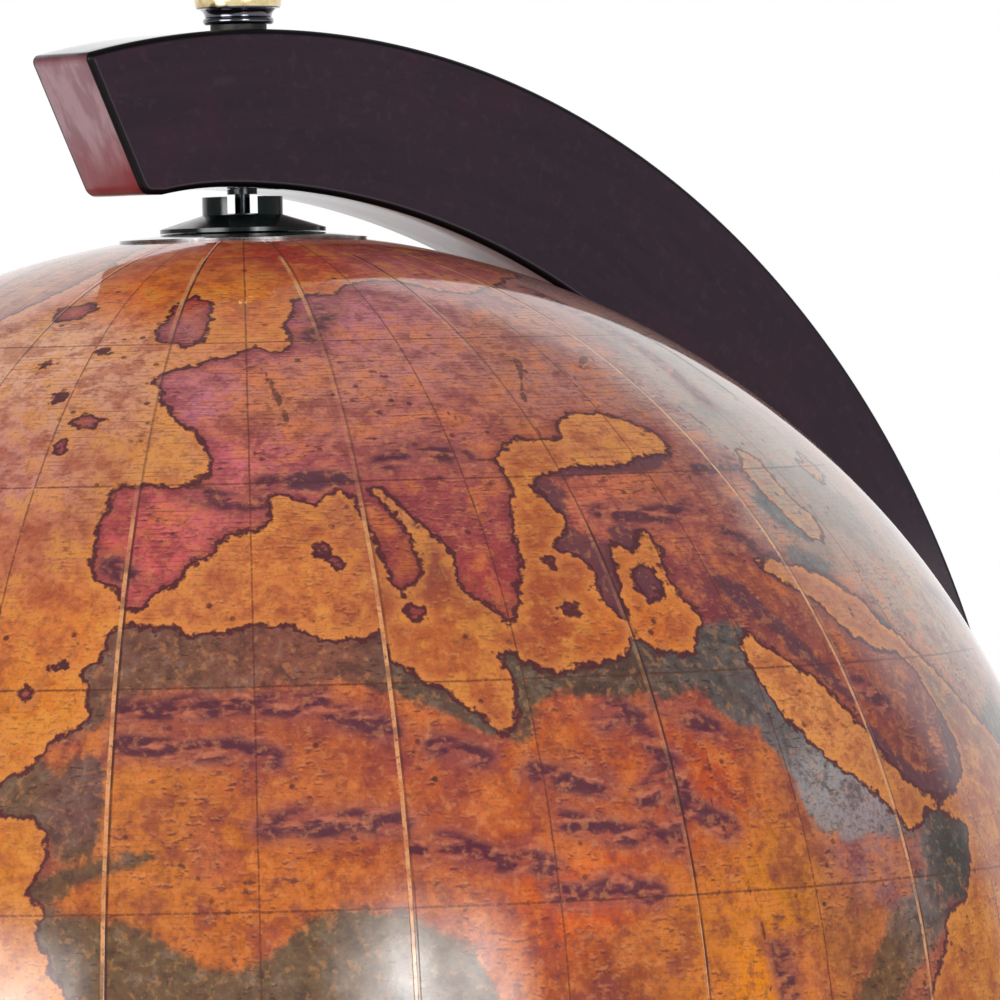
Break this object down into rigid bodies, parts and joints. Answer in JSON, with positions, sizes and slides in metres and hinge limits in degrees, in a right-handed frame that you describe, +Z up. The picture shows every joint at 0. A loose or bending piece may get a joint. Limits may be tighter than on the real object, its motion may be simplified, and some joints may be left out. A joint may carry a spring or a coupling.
{
  "type": "desktop globe",
  "caption": "Ball with an antique-style map, spinning on a vertical axis in a crescent-shaped wooden arm on a turned round base.",
  "frame": {"origin": "centre of the felt foot's underside, on the polar axis", "axes": "+Z up along the polar axis, +X from the axis towards the back of the arm, the arm in the XZ plane"},
  "size_m": [0.3702, 0.3304, 0.5081],
  "materials": {
    "stained_wood": "dark stain under satin lacquer",
    "polished_brass": "polished, lacquered",
    "black_fibre": "matt",
    "bright_steel": "turned",
    "nylon": "natural",
    "beech": "bare",
    "felt": "felted wool",
    "map_gores": "printed paper gores under gloss varnish",
    "grey_board": "bare",
    "map_tape": "printed, varnished",
    "dark_plastic": "moulded, semi-gloss",
    "dark_disc": "smooth, glossy"
  },
  "bodies": {
    "stand": {"arm": "stained_wood", "upper_pivot": "bright_steel", "finial_washer": "black_fibre", "finial": "polished_brass", "lower_pivot": "bright_steel", "thrust_washer": "nylon", "collar": "polished_brass", "pedestal": "stained_wood", "base_cap": "stained_wood", "plinth": "stained_wood", "felt_pad": "felt", "base_bolt": "bright_steel", "base_washer": "bright_steel", "arm_insert": "polished_brass", "locating_dowels": "beech"},
    "globe": {"north_hemisphere": "map_gores", "south_hemisphere": "map_gores", "joining_ring": "grey_board", "equator_tape": "map_tape", "north_bush": "dark_plastic", "north_disc": "dark_disc", "north_nut": "dark_plastic", "south_bush": "dark_plastic", "south_disc": "dark_disc", "south_nut": "dark_plastic"}
  },
  "joints": [
    {"name": "globe_spin", "type": "hinge", "parent": "stand", "child": "globe", "pos_m": [0, 0, 0.28102], "axis": [0, 0, 1], "continuous": true}
  ]
}
